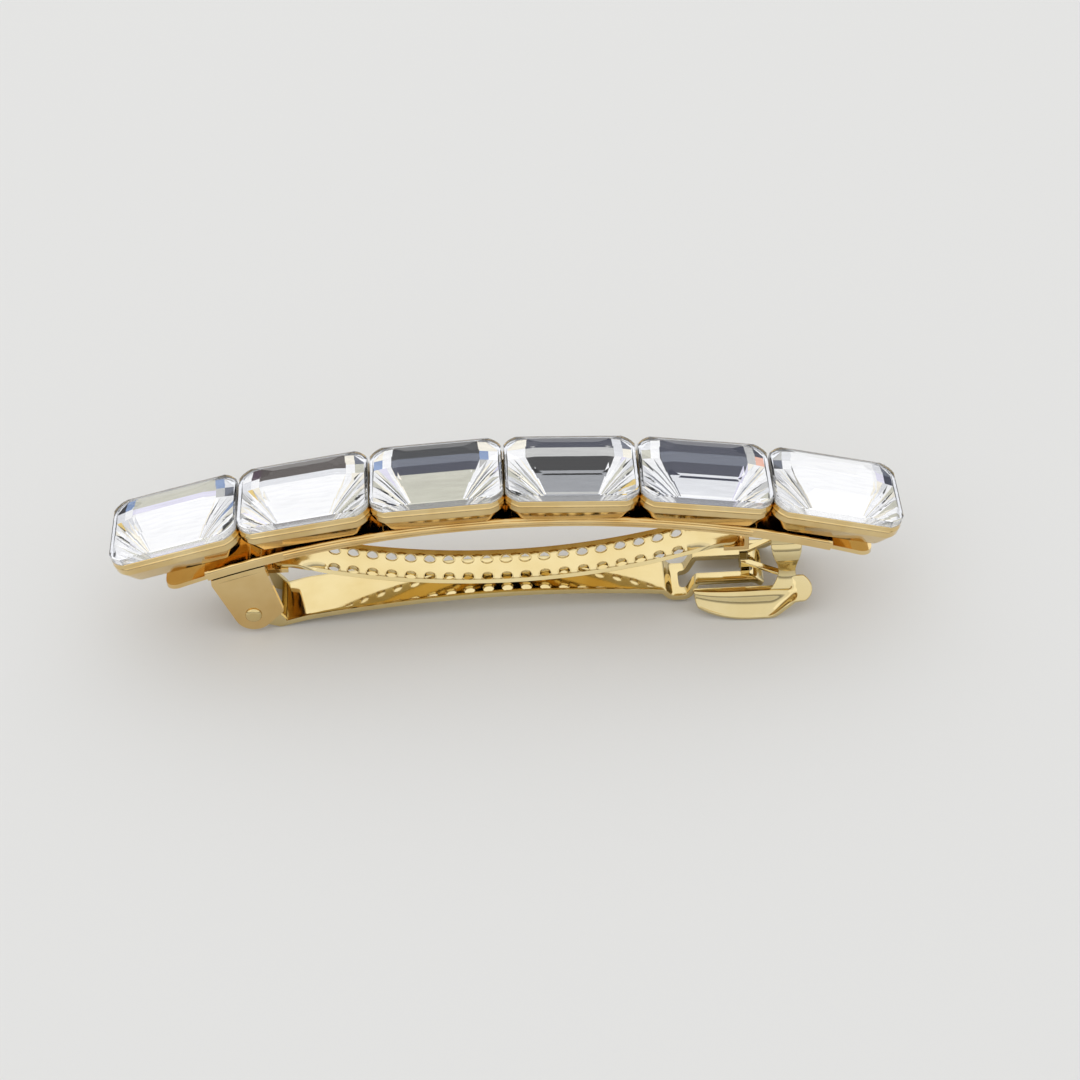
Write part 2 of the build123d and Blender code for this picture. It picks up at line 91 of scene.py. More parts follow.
def middleOf(node):
    # x and z of a node's box, in mm
    low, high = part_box(node)
    return (low[0] + high[0]) / 2 / mm, (low[2] + high[2]) / 2 / mm


def softEdges(obj, width, angle=28, segments=3):
    bevel = obj.modifiers.new("softEdges", "BEVEL")
    bevel.width = width * mm
    bevel.segments = segments
    bevel.limit_method = "ANGLE"
    bevel.angle_limit = math.radians(angle)
    # the clamp holds the whole piece to the rounding its shortest edges allow
    bevel.use_clamp_overlap = True
    even = obj.modifiers.new("evenNormals", "WEIGHTED_NORMAL")
    even.mode = "FACE_AREA"
    even.weight = 100
    even.keep_sharp = True
    obj.data.shade_smooth()
    bakeModifiers(obj)


def cleanCopy(node, name, material):
    # the CAD piece as one welded skin with its flat faces whole again
    sameSpot, flatAngle = 0.0005 * mm, math.radians(0.6)
    bm = bmesh.new()
    bm.from_mesh(frame["nodes"][node].data)
    bmesh.ops.remove_doubles(bm, verts=bm.verts, dist=sameSpot)
    bmesh.ops.dissolve_limit(bm, angle_limit=flatAngle, verts=bm.verts, edges=bm.edges)
    bmesh.ops.recalc_face_normals(bm, faces=bm.faces)
    return meshFrom(bm, name, [material])


# node tree helpers
def group(name, inputs, outputs):
    tree = bpy.data.node_groups.new(name, "ShaderNodeTree")
    for label, kind, value in inputs:
        socket = tree.interface.new_socket(label, in_out="INPUT", socket_type=kind)
        socket.default_value = value
    for label, kind in outputs:
        tree.interface.new_socket(label, in_out="OUTPUT", socket_type=kind)
    return tree, tree.nodes.new("NodeGroupInput").outputs, tree.nodes.new("NodeGroupOutput")


def fill(target, values):
    # a value sets its socket, and an output is linked to it
    for name, value in values.items():
        socket = target.inputs[name]
        if isinstance(value, bpy.types.NodeSocket):
            target.id_data.links.new(value, socket)
        else:
            socket.default_value = value


def addNode(tree, kind, **values):
    # a node with its settings; names that are no setting are sockets
    made = tree.nodes.new(kind)
    for name, value in values.items():
        if hasattr(made, name):
            setattr(made, name, value)
        else:
            fill(made, {name: value})
    return made


def maths(tree, operation, *values):
    made = addNode(tree, "ShaderNodeMath", operation=operation)
    fill(made, dict(enumerate(values)))
    return made.outputs[0]


def mapRange(tree, value, given=(0.0, 1.0), wanted=(0.0, 1.0)):
    made = addNode(tree, "ShaderNodeMapRange", Value=value)
    fill(made, {"From Min": given[0], "From Max": given[1], "To Min": wanted[0], "To Max": wanted[1]})
    return made.outputs["Result"]


def drawnNoise(tree, spot, scale, turn=0.0, detail=2.0):
    # noise drawn out along one axis
    stretch = addNode(tree, "ShaderNodeMapping", Vector=spot, Scale=scale, Rotation=(0, 0, turn))
    noise = addNode(tree, "ShaderNodeTexNoise", Vector=stretch.outputs["Vector"], Detail=detail, Scale=1.0)
    return noise.outputs["Fac"]


# plating: slow tone changes, fine polishing lines and a faint orange peel
platingLook = {
    "toneRange": (0.35, 0.7), "lineScale": (400, 6500, 6500), "lineRoughness": 0.05, "lineHeight": 0.12,
    "peelScale": 1400.0, "bumpDistance": 0.00002,
}


def buildPlating(look):
    tree, give, out = group("platedSurface", [
        ("Pale", "NodeSocketColor", (0.9, 0.76, 0.5, 1)),
        ("Deep", "NodeSocketColor", (0.8, 0.58, 0.28, 1)),
        ("Patch Size", "NodeSocketFloat", 0.004),
        ("Gloss", "NodeSocketFloat", 0.06),
        ("Peel", "NodeSocketFloat", 0.1)],
        [("Color", "NodeSocketColor"), ("Roughness", "NodeSocketFloat"), ("Normal", "NodeSocketVector")])
    spot = addNode(tree, "ShaderNodeTexCoord").outputs["Object"]
    patches = maths(tree, "DIVIDE", 1.0, give["Patch Size"])
    tone = addNode(tree, "ShaderNodeTexNoise", Vector=spot, Scale=patches, Detail=3.0, Roughness=0.55)
    share = mapRange(tree, tone.outputs["Fac"], look["toneRange"])
    mix = addNode(tree, "ShaderNodeMix", data_type="RGBA", Factor=share, A=give["Pale"], B=give["Deep"])
    lines = drawnNoise(tree, spot, look["lineScale"])
    peel = addNode(tree, "ShaderNodeTexNoise", Vector=spot, Detail=1.5, Scale=look["peelScale"])
    height = maths(tree, "MULTIPLY_ADD", lines, look["lineHeight"], peel.outputs["Fac"])
    bump = addNode(tree, "ShaderNodeBump", Distance=look["bumpDistance"], Strength=give["Peel"],
                   Height=height)
    rough = maths(tree, "MULTIPLY_ADD", lines, look["lineRoughness"], give["Gloss"])
    fill(out, {"Color": mix.outputs["Result"], "Roughness": rough, "Normal": bump.outputs["Normal"]})
    return tree


plating = buildPlating(platingLook)


def newMaterial(name):
    made = bpy.data.materials.new(name)
    made.use_nodes = True
    tree = made.node_tree
    return made, tree, tree.nodes["Principled BSDF"]


goldLooks = {
    "settingGold": {"Pale": (0.82, 0.64, 0.33, 1), "Deep": (0.7, 0.49, 0.2, 1), "Patch Size": 0.005,
                    "Gloss": 0.05, "Peel": 0.1},
    "plateGold": {"Pale": (0.8, 0.6, 0.29, 1), "Deep": (0.68, 0.44, 0.16, 1), "Patch Size": 0.007,
                  "Gloss": 0.05, "Peel": 0.12},
    "springGold": {"Pale": (0.76, 0.63, 0.34, 1), "Deep": (0.7, 0.55, 0.26, 1), "Patch Size": 0.006,
                   "Gloss": 0.06, "Peel": 0.1},
}


def goldMaterial(name):
    made, tree, shader = newMaterial(name)
    finish = addNode(tree, "ShaderNodeGroup", node_tree=plating)
    fill(finish, goldLooks[name])
    fill(shader, {"Base Color": finish.outputs["Color"], "Roughness": finish.outputs["Roughness"],
                  "Normal": finish.outputs["Normal"], "Metallic": 1.0})
    return made


settingGold, plateGold, springGold = (goldMaterial(name) for name in goldLooks)

glassIndex = 1.53
crystalLook = {
    "tint": (0.985, 0.99, 1.0, 1), "clear": 1.0, "hazeScale": (90, 500, 500), "hazeTurn": 0.5,
    "hazeRange": (0.62, 0.8), "roughness": (0.0, 0.004),
}
# the girdle, the ground edge of a stone, is duller and paler than its polished facets
girdleLook = {"tint": (0.94, 0.945, 0.95, 1), "clear": 0.75, "grainScale": 900.0, "roughness": (0.18, 0.28)}
# the streaks shift the foil's painted reflection tone a little along each facet
foilLook = {
    "streakScale": (0.3, 2.4, 1.0), "streakRange": (0.3, 0.7), "streakTone": (0.96, 1.04), "roughness": 0.08,
}


def glassMaterial(name, look):
    made, tree, shader = newMaterial(name)
    spot = addNode(tree, "ShaderNodeTexCoord").outputs["Object"]
    if "hazeScale" in look:
        noise = drawnNoise(tree, spot, look["hazeScale"], look["hazeTurn"], detail=3.0)
    else:
        grain = addNode(tree, "ShaderNodeTexNoise", Vector=spot, Detail=2.0, Scale=look["grainScale"])
        noise = grain.outputs["Fac"]
    rough = mapRange(tree, noise, look.get("hazeRange", (0.0, 1.0)), look["roughness"])
    fill(shader, {"Base Color": look["tint"], "Roughness": rough, "Transmission Weight": look["clear"],
                  "IOR": glassIndex})
    return made


def foilMaterial(look):
    # mirror backing of the crystals: each facet carries a painted reflection tone, standing in for what the
    # foil mirrors, with fine streaks along it
    made, tree, shader = newMaterial("stoneFoilPaintedReflections")
    tone = addNode(tree, "ShaderNodeAttribute", attribute_name="facetPaintedReflection", attribute_type="GEOMETRY")
    where = addNode(tree, "ShaderNodeUVMap", uv_map="facetPlace")
    streaks = drawnNoise(tree, where.outputs["UV"], look["streakScale"], detail=1.0)
    level = mapRange(tree, streaks, look["streakRange"], look["streakTone"])
    tint = addNode(tree, "ShaderNodeMix", data_type="RGBA", blend_type="MULTIPLY", Factor=1.0,
                   A=tone.outputs["Color"], B=level)
    fill(shader, {"Base Color": tint.outputs["Result"], "Metallic": 1.0, "Roughness": look["roughness"]})
    return made


crystal = glassMaterial("crystal", crystalLook)
girdleGlass = glassMaterial("stoneGirdle", girdleLook)
foil = foilMaterial(foilLook)
print("materials made")

# stones: step-cut octagons, clear crown over a foiled back whose facets carry painted reflections
# painted reflection colours of the foil facets: the dark and light ones stand in for a room the foil mirrors,
# while blue, gold, lilac and rose are painted glints
paintedReflectionTones = {
    "white": (0.99, 0.99, 1.0), "cream": (0.97, 0.92, 0.8), "pale": (0.8, 0.81, 0.84),
    "lilac": (0.8, 0.78, 0.92), "ash": (0.56, 0.56, 0.55), "stone": (0.6, 0.59, 0.5),
    "grey": (0.34, 0.35, 0.37), "slate": (0.14, 0.155, 0.2), "blue": (0.24, 0.34, 0.56),
    "navy": (0.035, 0.04, 0.07), "ink": (0.02, 0.022, 0.028), "black": (0.008, 0.008, 0.01),
    "plum": (0.07, 0.035, 0.06), "umber": (0.075, 0.06, 0.055), "gold": (0.85, 0.62, 0.2),
    "rose": (0.9, 0.5, 0.38),
}
stoneLook = {
    "length": 14.0, "width": 10.0, "corner": 1.35, "bulge": 0.18,
    "tableEnd": 3.1, "tableSide": 2.35, "tableCorner": 0.9,
    "crown": 1.0, "girdle": 1.0, "edge": 0.07, "rim": 0.45, "wall": 0.16, "seatCorner": 0.8,
    # the foiled back: depths of its edges and fold, where its facets meet, and how depth shifts the view
    "nearDepth": 3.5, "middleDepth": 2.16, "farDepth": 1.86, "hub": 4.4, "nearEnd": 2.2, "cornerShrink": 0.4,
    "lastBand": 0.62, "hubShare": 0.42, "lean": 0.59, "leanRise": 0.6,
    "rays": 12, "rayJitter": 0.18, "rayReach": (0.5, 0.85), "notch": 0.06, "notchShare": (0.4, 1.0),
    # painted reflection tone of the slim facets, with a few painted glints among them
    "fanReflectionTones": ["white", "white", "white", "cream", "pale", "white", "ash", "cream", "white", "pale", "white",
            "stone"],
    "paintedGlints": ["blue", "gold", "lilac", "lilac"], "paintedGlintShare": 0.03, "toneShare": (0.88, 1.0), "seed": 11,
}
# each stone's painted reflection: bands run from the far edge to the near one, parted by the cuts; left and
# right are the blocks in the far corners, outer ones first
stoneReflectionBands = [
    {"cuts": (0.2, 0.36, 1.0), "bands": ["stone", "lilac", "white", "white", "white"],
     "left": ["ink", "blue", "pale", "white"], "right": ["pale", "blue", "slate", "ash"]},
    {"cuts": (0.26, 0.44, 1.0), "bands": ["umber", "pale", "white", "white", "white"],
     "left": ["white", "plum", "pale", "white"], "right": ["slate", "cream", "stone", "white"]},
    {"cuts": (0.24, 0.47, 0.72), "bands": ["ink", "slate", "navy", "stone", "stone"],
     "left": ["cream", "white", "blue", "white"], "right": ["cream", "cream", "white", "blue"]},
    {"cuts": (0.17, 0.44, 0.85), "bands": ["navy", "ash", "black", "grey", "ash"],
     "left": ["cream", "cream", "white", "white"], "right": ["slate", "pale", "cream", "pale"]},
    {"cuts": (0.24, 0.54, 0.86), "bands": ["navy", "slate", "navy", "pale", "white"],
     "left": ["pale", "white", "stone", "white"], "right": ["navy", "ash", "rose", "ash"]},
    {"cuts": (0.3, 0.6, 1.0), "bands": ["white", "white", "white", "white", "white"],
     "left": ["ash", "pale", "slate", "white"], "right": ["slate", "pale", "navy", "lilac"]},
]


def outline(length, width, corner, bulge=0.0, steps=4):
    # an octagon whose corner cuts swell by the bulge
    points = []
    for sx, sy, first in ((1, -1, 0), (1, 1, 1), (-1, 1, 0), (-1, -1, 1)):
        ends = [(length / 2 - corner, width / 2), (length / 2, width / 2 - corner)]
        if first:
            ends.reverse()
        for step in range(steps + 1):
            t = step / steps
            swell = bulge * 4 * t * (1 - t) / math.sqrt(2)
            points.append((sx * (ends[0][0] * (1 - t) + ends[1][0] * t + swell),
                           sy * (ends[0][1] * (1 - t) + ends[1][1] * t + swell)))
    return points


def tableFrame(node):
    # local axes of a stone: origin in the middle of its table, z out of the table
    upright = 0.9  # a facet whose normal points up more than this may be the table
    groups = {}
    for face in frame["nodes"][node].data.polygons:
        groups.setdefault(tuple(round(v, 2) for v in face.normal), []).append(face)
    top = max((g for k, g in groups.items() if k[2] > upright), key=lambda g: sum(f.area for f in g))
    area = sum(f.area for f in top)
    normal = sum((f.normal * f.area for f in top), Vector()).normalized()
    middle = sum((f.center * f.area for f in top), Vector()) / area
    across = Vector((0, 1, 0))
    along = across.cross(normal).normalized()
    return Matrix.Translation(middle) @ Matrix((along, across, normal)).transposed().to_4x4()


def crownRings(look):
    # outline rings from the seat up to the table, as (z, points)
    seat, edge = -look["crown"] - look["girdle"], look["edge"]
    side = (look["length"] - 2 * edge, look["width"] - 2 * edge, look["corner"], look["bulge"])
    full = (look["length"], look["width"], look["corner"], look["bulge"])
    table = (look["length"] - 2 * look["tableEnd"], look["width"] - 2 * look["tableSide"],
             look["tableCorner"])
    return [(seat, outline(*full)), (-look["crown"] - edge, outline(*full)),
            (-look["crown"] + edge / 2, outline(*side)), (0.0, outline(*table))]


def backHeight(look, y, fold):
    # the foiled back is folded along one line: it rises to the far edge and falls to the near one
    half = look["width"] / 2 - look["rim"] - look["wall"]
    middle = look["middleDepth"]
    if y < fold:
        return -middle + (middle - look["nearDepth"]) * (fold - y) / (fold + half)
    return -middle + (middle - look["farDepth"]) * (y - fold) / (half - fold)


def rowAt(look, share):
    # where the back is seen through the table: share 0 is its far edge and 1 its near one
    half = look["width"] / 2 - look["tableSide"]
    rise = (look["farDepth"] - look["middleDepth"]) * (1 - share) * look["leanRise"]
    return half * (1 - 2 * share) + look["lean"] * (look["middleDepth"] + rise)


def onEdge(point, a, b):
    edge, reach = b - a, point - a
    share = reach.dot(edge) / edge.length_squared
    return weldReach < share < 1 - weldReach and (reach - edge * share).length < weldReach


def weldFacets(facets):
    # a point that another facet has on an edge joins that edge, so the facets close up
    points = []
    for corners, _ in facets:
        for corner in corners:
            if not any((corner - p).length < weldReach for p in points):
                points.append(corner)
    welded = []
    for corners, shade in facets:
        full = []
        for a, b in zip(corners, corners[1:] + corners[:1]):
            full.append(a)
            full += sorted((p for p in points if onEdge(p, a, b)), key=lambda p: (p - a).length)
        keys = []
        for corner in full:
            key = min(range(len(points)), key=lambda i: (points[i] - corner).length)
            if key not in keys:
                keys.append(key)
        if len(keys) > 2:
            welded.append((keys, shade))
    return points, welded


def backFacets(look, bands, random):
    # flat facets of the back as (corners, painted reflection tone)
    inset = look["rim"] + look["wall"]
    halfX, halfY = look["length"] / 2 - inset, look["width"] / 2 - inset
    cut, hub = look["corner"] - inset * look["cornerShrink"], look["hub"]
    hubRow = rowAt(look, look["hubShare"])
    cuts = [rowAt(look, share) for share in bands["cuts"]]
    facets = []

    def facet(shape, shade, side=1, drops=()):
        corners = [Vector((side * x, y, backHeight(look, y, hubRow) - drop))
                   for (x, y), drop in zip(shape, drops or [0] * len(shape))]
        facets.append((corners[::side], shade))

    rows = [halfY, *cuts, -halfY * look["lastBand"], -halfY]
    ends = [hub + (look["nearEnd"] - hub) * max(0, hubRow - y) / (hubRow + halfY) for y in rows]
    for row, name in enumerate(bands["bands"]):
        y0, y1, x0, x1 = rows[row], rows[row + 1], ends[row], ends[row + 1]
        shape = [(x1, y1), (x0, y0)]
        if y1 < hubRow < y0:
            shape.insert(1, (hub, hubRow))
        facet([(-x, y) for x, y in shape[::-1]] + shape, paintedReflectionTones[name])
    for side, blocks in ((1, bands["right"]), (-1, bands["left"])):
        columns, edges = [hub, (hub + halfX) / 2, halfX], [halfY, (halfY + hubRow) / 2, hubRow]
        for row in range(2):
            for col in range(2):
                x0, x1, y0, y1 = columns[col], columns[col + 1], edges[row], edges[row + 1]
                shape = [(x0, y1), (x1, y1), (x1, y0), (x0, y0)]
                if row == 0 and col == 1:
                    shape[2:3] = [(x1, y0 - cut), (x1 - cut, y0)]
                facet(shape, paintedReflectionTones[blocks[2 * row + (1 - col)]], side)
        # slim facets run from the end and the corner down to one point of the near edge
        path = [(hub, hubRow), (halfX, hubRow), (halfX, cut - halfY), (halfX - cut, -halfY)]
        focus = (look["nearEnd"], -halfY)
        jitter = look["rayJitter"]
        steps = np.cumsum([0] + [math.dist(a, b) for a, b in zip(path, path[1:])])
        stops = np.linspace(0, steps[-1], look["rays"] + 1)
        stops[1:-1] += random.uniform(-jitter, jitter, len(stops) - 2)
        for step in steps[1:-1]:
            stops[np.argmin(abs(stops - step))] = step
        rim = [tuple(float(np.interp(s, steps, [p[axis] for p in path])) for axis in (0, 1)) for s in stops]
        for a, b in zip(rim, rim[1:]):
            reach = random.uniform(*look["rayReach"])
            valley = tuple(c + ((p + q) / 2 - c) * reach for c, p, q in zip(focus, a, b))
            drop = look["notch"] * random.uniform(*look["notchShare"]) * random.choice((-1, 1))
            for shape, drops in (((focus, valley, a), (0, drop, 0)), ((focus, b, valley), (0, 0, drop)),
                                 ((valley, b, a), (drop, 0, 0))):
                # each slim facet gets a painted reflection tone, now and then a painted glint
                name = look["fanReflectionTones"][random.integers(len(look["fanReflectionTones"]))]
                if random.random() < look["paintedGlintShare"]:
                    name = look["paintedGlints"][random.integers(len(look["paintedGlints"]))]
                shade = tuple(np.array(paintedReflectionTones[name]) * random.uniform(*look["toneShare"]))
                facet(list(shape), shade, side, drops)
    return facets


def buildStone(index, look, bands):
    node = f"stone_{index + 1}"
    random = np.random.default_rng(look["seed"] + index)
    bm = bmesh.new()
    # the foil's facet colour is a painted reflection
    tone = bm.loops.layers.float_color.new("facetPaintedReflection")
    flat = bm.loops.layers.uv.new("facetPlace")
    rings = [[bm.verts.new((x, y, z)) for x, y in points] for z, points in crownRings(look)]
    seat = -look["crown"] - look["girdle"]
    inside = outline(look["length"] - 2 * look["rim"], look["width"] - 2 * look["rim"],
                     look["corner"] * look["seatCorner"], look["bulge"])
    inner = [bm.verts.new((x, y, seat)) for x, y in inside]
    foilSlot, girdleSlot = 1, 2
    foiled = []
    for below, above in zip([inner] + rings, rings):
        for face in bandBetween(bm, below, above):
            if below is inner:
                foiled.append((face, paintedReflectionTones["pale"]))
            elif above is rings[1]:
                face.material_index = girdleSlot
    bm.faces.new(rings[-1])
    points, facets = weldFacets(backFacets(look, bands, random))
    verts = [bm.verts.new(point) for point in points]
    for keys, shade in facets:
        foiled.append((bm.faces.new([verts[key] for key in keys][::-1]), shade))
    # a low wall joins the facets to the flat rim
    border = [edge for edge in bm.edges if len(edge.link_faces) == 1]
    for face in bmesh.ops.bridge_loops(bm, edges=border)["faces"]:
        foiled.append((face, paintedReflectionTones["pale"]))
    # every foiled face takes its painted reflection tone
    for face, shade in foiled:
        face.material_index = foilSlot
        for loop in face.loops:
            loop[tone] = (*shade, 1)
            loop[flat].uv = (loop.vert.co.x, loop.vert.co.y)
    bmesh.ops.recalc_face_normals(bm, faces=bm.faces)
    openEdges = sum(1 for edge in bm.edges if len(edge.link_faces) != 2)
    bm.transform(tableFrame(node) @ Matrix.Scale(mm, 4))
    place(meshFrom(bm, f"crystal{index + 1}", [crystal, foil, girdleGlass]), node)
    return openEdges


print("stones cut, open edges", [buildStone(i, stoneLook, bands) for i, bands in enumerate(stoneReflectionBands)])

# settings: closed cups with a thin lip, a raised line round the band and a tapered foot
settingLook = {
    "length": 14.1, "width": 10.1, "corner": 1.5, "bulge": 0.22, "steps": 6, "sharpAngle": 40,
    # the wall as (how far out, height from the stone's table): up the inside, over the lip, down to the foot
    "wall": [(-1.0, -4.55), (-0.4, -3.5), (-0.2, -3.15), (-0.13, -2.75), (-0.13, -1.97), (-0.1, -1.88),
             (-0.05, -1.87), (0.0, -1.92), (0.01, -2.05), (0.0, -2.33), (0.03, -2.39), (0.1, -2.44),
             (0.12, -2.5), (0.09, -2.56), (0.02, -2.61), (0.0, -2.69), (0.0, -3.21), (-0.02, -3.31),
             (-0.09, -3.43), (-0.72, -4.77), (-0.8, -4.89), (-0.92, -4.95)],
}


def buildSetting(index, look):
    bm = bmesh.new()
    rings = []
    for out, z in look["wall"]:
        ends = min(out, 0.0)  # the cups meet at their ends, so nothing stands out there
        shape = outline(look["length"] + 2 * ends, look["width"] + 2 * out, look["corner"], look["bulge"],
                        look["steps"])
        rings.append([bm.verts.new((x, y, z)) for x, y in shape])
    for a, b in zip(rings, rings[1:]):
        bandBetween(bm, a, b)
    bm.faces.new(rings[0])
    bm.faces.new(rings[-1][::-1])
    bmesh.ops.recalc_face_normals(bm, faces=bm.faces)
    bm.transform(tableFrame(f"stone_{index + 1}") @ Matrix.Scale(mm, 4))
    cup = meshFrom(bm, f"setting{index + 1}", [settingGold])
    cup.data.shade_smooth()
    cup.data.set_sharp_from_angle(angle=math.radians(look["sharpAngle"]))
    place(cup, f"setting_{index + 1}")


# sheet metal helpers
sharpRim = 50  # degrees, a sharper edge of a sheet gets a bevel


def sheetFrom(bm, name, finish, thickness, rounding=0, levels=0):
    # a thin skin gets its wall inwards, then narrow bevels on its rims or a smoother surface
    obj = meshFrom(bm, name, [finish])
    wall = obj.modifiers.new("wall", "SOLIDIFY")
    wall.thickness = thickness * mm
    wall.offset = -1.0
    if rounding:
        rims = obj.modifiers.new("rims", "BEVEL")
        rims.width = rounding * mm
        rims.segments = 2
        rims.limit_method = "ANGLE"
        rims.angle_limit = math.radians(sharpRim)
    if levels:
        smooth = obj.modifiers.new("smooth", "SUBSURF")
        smooth.levels = smooth.render_levels = levels
    obj.data.shade_smooth()
    bakeModifiers(obj)
    obj.data.shade_smooth()
    return obj


def gridFaces(bm, rows, keep=lambda row, col: True):
    # rows of points joined into quads
    verts = [[bm.verts.new(Vector(point) * mm) for point in row] for row in rows]
    for r in range(len(rows) - 1):
        for c in range(len(rows[r]) - 1):
            if keep(r, c):
                bm.faces.new((verts[r][c], verts[r][c + 1], verts[r + 1][c + 1], verts[r + 1][c]))
    for vert in [v for v in bm.verts if not v.link_faces]:
        bm.verts.remove(vert)


def joinInto(target, others):
    # several meshes become one piece
    bm = bmesh.new()
    for obj in [target, *others]:
        bm.from_mesh(obj.data)
    bm.to_mesh(target.data)
    bm.free()
    target.data.shade_smooth()
    for obj in others:
        old = obj.data
        bpy.data.objects.remove(obj)
        bpy.data.meshes.remove(old)


def slab(name, finish, outlinePoints, low, high, rounding, axis="z"):
    # a flat shape with some height; axis is the way it is thick
    turns = {"z": lambda a, b, t: (a, b, t), "y": lambda a, b, t: (a, t, b), "x": lambda a, b, t: (t, a, b)}
    turn = turns[axis]
    bm = bmesh.new()
    faces = []
    for height in (low, high):
        faces.append([bm.verts.new(Vector(turn(a, b, height)) * mm) for a, b in outlinePoints])
    bm.faces.new(faces[0])
    bm.faces.new(faces[1][::-1])
    count = len(outlinePoints)
    for i in range(count):
        j = (i + 1) % count
        bm.faces.new((faces[0][i], faces[1][i], faces[1][j], faces[0][j]))
    bmesh.ops.recalc_face_normals(bm, faces=bm.faces)
    obj = meshFrom(bm, name, [finish])
    softEdges(obj, rounding, angle=30)
    return obj


def smoothPath(points, steps):
    # Catmull-Rom through the points
    values = [np.array(p, float) for p in points]
    values = [2 * values[0] - values[1], *values, 2 * values[-1] - values[-2]]
    made = []
    for a, b, c, d in zip(values, values[1:], values[2:], values[3:]):
        for step in range(steps):
            t = step / steps
            made.append(0.5 * (2 * b + (c - a) * t + (2 * a - 5 * b + 4 * c - d) * t * t
                               + (3 * b - a - 3 * c + d) * t ** 3))
    made.append(values[-2])
    return made


# catch ears: a sprung leg that runs into a dished finger tab, with a hooked prong
earLook = {
    "sheet": 0.42, "ends": (19.8, 32.6), "inner": 3.42, "reach": 6.08, "endReach": 5.05, "shelf": 2.75,
    "rimMiddle": 0.42, "rimEnd": 1.5, "dish": 0.1, "columns": 40, "frontRound": 0.5,
    # how sharply the outline, the front corner, the rim and the dish curve
    "belly": 2.6, "frontCurve": 3, "rimCurve": 2, "dishCurve": 4,
    # the free end past the leg turns up into a rounded lobe
    "lobe": (30.0, 31.1), "lobeRise": 1.3, "lobeRim": 2.35, "rimTurn": (28.0, 31.1), "lobeReach": 5.85,
    "lobeDish": 0.12, "lobeRound": (0.9, 0.85), "lobeTip": 0.5, "lobeCurve": 2.3,
    # profile of the tab from its inner edge to its rim, as shares of reach and drop
    "profileSteps": 2,
    "profile": [(0.0, 0.0), (0.2, 0.0), (0.36, 0.05), (0.46, 0.2), (0.52, 0.42), (0.6, 0.63), (0.74, 0.82),
                (0.88, 0.94), (1.0, 1.0)],
    # leg from the plate down to the tab: y of its outer face, z, middle x and half width
    "leg": [(3.4, 9.35, 29.8, 1.68), (3.4, 8.45, 29.8, 1.7), (3.72, 7.95, 29.8, 1.66),
            (3.95, 7.3, 29.82, 1.55), (3.92, 6.5, 29.86, 1.35), (3.66, 5.5, 29.92, 1.08),
            (3.48, 4.6, 29.95, 0.95), (3.62, 3.9, 29.95, 1.05), (3.95, 3.3, 29.98, 1.45),
            (4.4, 2.8, 30.0, 2.0)],
    "legSteps": 3, "legColumns": (-1, -0.85, -0.4, 0, 0.4, 0.85, 1), "legCamber": 0.06,
    # the hook: a bridge seen from above and the prong on it seen from the end
    "bridge": [(30.3, -3.3), (30.2, -3.0), (26.2, -0.72), (25.2, -0.72), (25.2, -1.03), (29.2, -3.3)],
    "bridgeHeights": (3.8, 4.13), "bridgeRounding": 0.07,
    "prong": [(-0.72, 4.1), (-0.72, 1.72), (-1.8, 1.72), (-1.84, 2.1), (-1.1, 2.2), (-1.03, 2.5),
              (-1.03, 4.1)],
    "prongEnds": (25.22, 26.18), "prongRounding": 0.06,
    # points outside the sheet, to tell its outer face
    "tabProbe": (26, -12, 12), "legProbe": (30, -12, 6),
}


def smoothStep(value, low, high):
    t = min(1.0, max(0.0, (value - low) / (high - low)))
    return t * t * (3 - 2 * t)


def earTab(look):
    bm = bmesh.new()
    x0, x1 = look["ends"]
    widest = look["lobeTip"]
    profile = smoothPath(look["profile"], look["profileSteps"])
    rows = []
    for column in range(look["columns"] + 1):
        u = -1 + 2 * column / look["columns"]
        x = (x0 + x1) / 2 + (x1 - x0) * u / 2
        end = look["endReach"] if u < 0 else look["lobeReach"]
        reach = end + (look["reach"] - end) * (1 - abs(u) ** look["belly"])
        turn, lift = smoothStep(x, *look["lobe"]), smoothStep(x, *look["rimTurn"])
        top = look["shelf"] + look["lobeRise"] * turn
        rim = look["rimMiddle"] + (look["rimEnd"] - look["rimMiddle"]) * min(u, 0.0) ** look["rimCurve"]
        rim += (look["lobeRim"] - rim) * lift
        row = []
        for out, drop in profile:
            # the long end is nearly square in plan, the free one round
            tip = (out - widest) / (widest if out < widest else 1 - widest)
            low = x0 + look["frontRound"] * out ** look["frontCurve"]
            high = x1 - look["lobeRound"][0 if tip < 0 else 1] * abs(tip) ** look["lobeCurve"]
            fall = drop + (out - drop) * turn
            dish = look["dish"] * max(0.0, -u) ** look["dishCurve"] - look["lobeDish"] * turn
            row.append((low + (high - low) * (u + 1) / 2, -(look["inner"] + (reach - look["inner"]) * out),
                        top - (top - rim) * fall + dish * math.sin(math.pi * out)))
        rows.append(row)
    gridFaces(bm, rows)
    return bm


def earLeg(look):
    bm = bmesh.new()
    rows = []
    for y, z, x, half in smoothPath(look["leg"], look["legSteps"]):
        rows.append([(x + half * t, -(y - look["legCamber"] * t * t), z) for t in look["legColumns"]])
    gridFaces(bm, rows)
    return bm


fromAbove = (0, 0, 90)  # mm, a probe over a sheet that lies flat


def faceOutward(bm, probe):
    # turn the skin so that its outer face looks at the probe
    bmesh.ops.recalc_face_normals(bm, faces=bm.faces)
    target = Vector(probe) * mm
    score = sum(face.normal.dot(target - face.calc_center_median()) * face.calc_area() for face in bm.faces)
    if score < 0:
        bmesh.ops.reverse_faces(bm, faces=bm.faces)
    return bm


